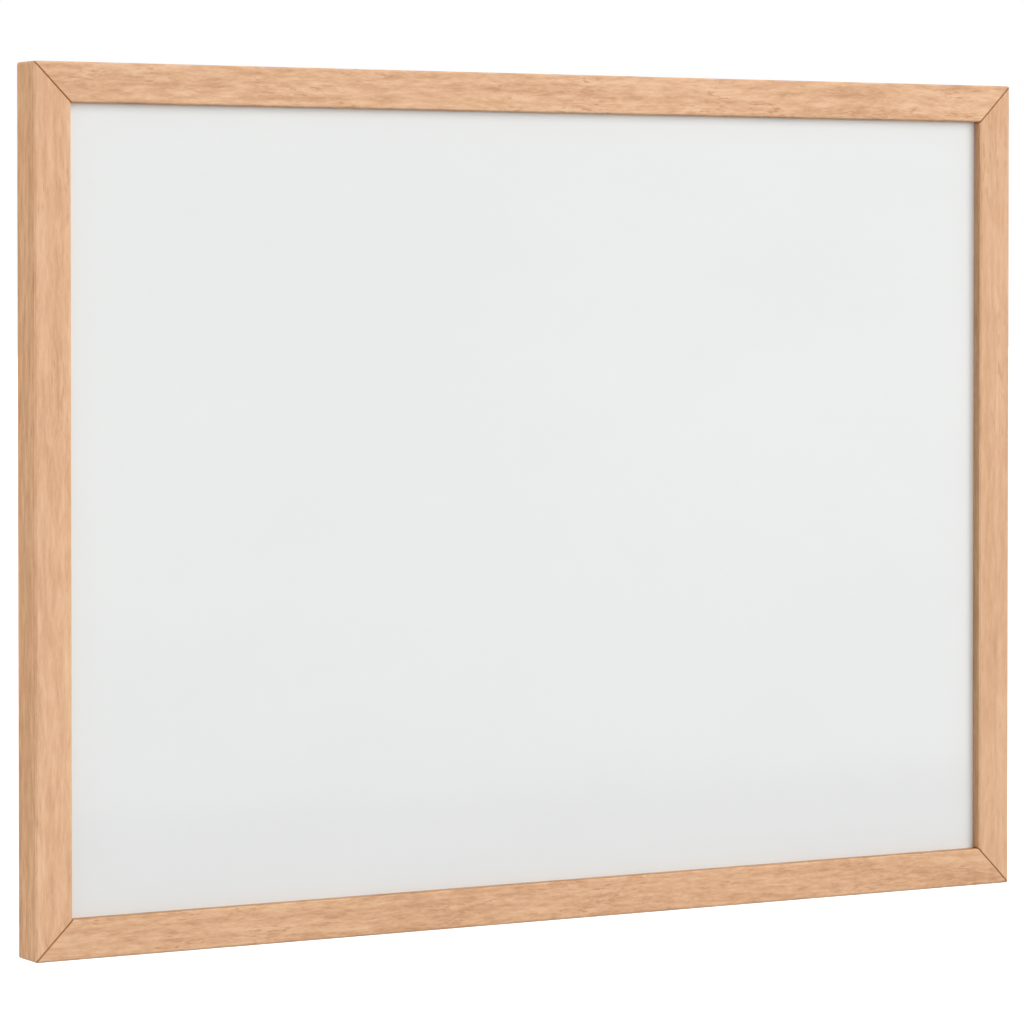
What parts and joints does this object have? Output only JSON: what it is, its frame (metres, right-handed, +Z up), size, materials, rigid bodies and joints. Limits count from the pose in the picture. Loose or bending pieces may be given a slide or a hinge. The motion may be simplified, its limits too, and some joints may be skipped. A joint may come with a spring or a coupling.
{
  "type": "magnetic whiteboard",
  "caption": "Magnetic dry-wipe whiteboard: white lacquered steel sheet on fibreboard, in a slim mitred wooden frame with keyhole hanger plates let into the back.",
  "frame": {"origin": "centre of the top rail's back face, where the board meets the wall", "axes": "+X along the width, to the right as seen from the front; +Y out of the back, into the wall; +Z up. The writing surface faces -Y at y = -0.0155, clear over 559 x 409 mm inside the frame"},
  "size_m": [0.6, 0.0215, 0.45],
  "materials": {
    "top_rail_wood": "satin oiled softwood, warm light brown",
    "bottom_rail_wood": "satin oiled softwood, warm light brown",
    "left_stile_wood": "satin oiled softwood, warm light brown",
    "right_stile_wood": "satin oiled softwood, warm light brown",
    "white_lacquer": "white dry-wipe lacquer on sheet steel, satin gloss",
    "fibreboard": "bare medium-density fibreboard",
    "nail_steel": "bright steel strip",
    "tab_steel": "bright steel",
    "zinc_plate": "zinc-plated steel",
    "screw_steel": "zinc-plated steel"
  },
  "bodies": {
    "root": {"top_rail": "top_rail_wood", "bottom_rail": "bottom_rail_wood", "left_stile": "left_stile_wood", "right_stile": "right_stile_wood", "writing_sheet": "white_lacquer", "backing_board": "fibreboard", "v_nail_top_left_1": "nail_steel", "v_nail_top_left_2": "nail_steel", "v_nail_top_right_1": "nail_steel", "v_nail_top_right_2": "nail_steel", "v_nail_bottom_left_1": "nail_steel", "v_nail_bottom_left_2": "nail_steel", "v_nail_bottom_right_1": "nail_steel", "v_nail_bottom_right_2": "nail_steel", "tab_top_1": "tab_steel", "tab_top_2": "tab_steel", "tab_top_3": "tab_steel", "tab_bottom_1": "tab_steel", "tab_bottom_2": "tab_steel", "tab_bottom_3": "tab_steel", "tab_left_1": "tab_steel", "tab_left_2": "tab_steel", "tab_right_1": "tab_steel", "tab_right_2": "tab_steel", "hanger_left": "zinc_plate", "screw_left_upper": "screw_steel", "screw_left_lower": "screw_steel", "hanger_right": "zinc_plate", "screw_right_upper": "screw_steel", "screw_right_lower": "screw_steel"}
  },
  "joints": []
}
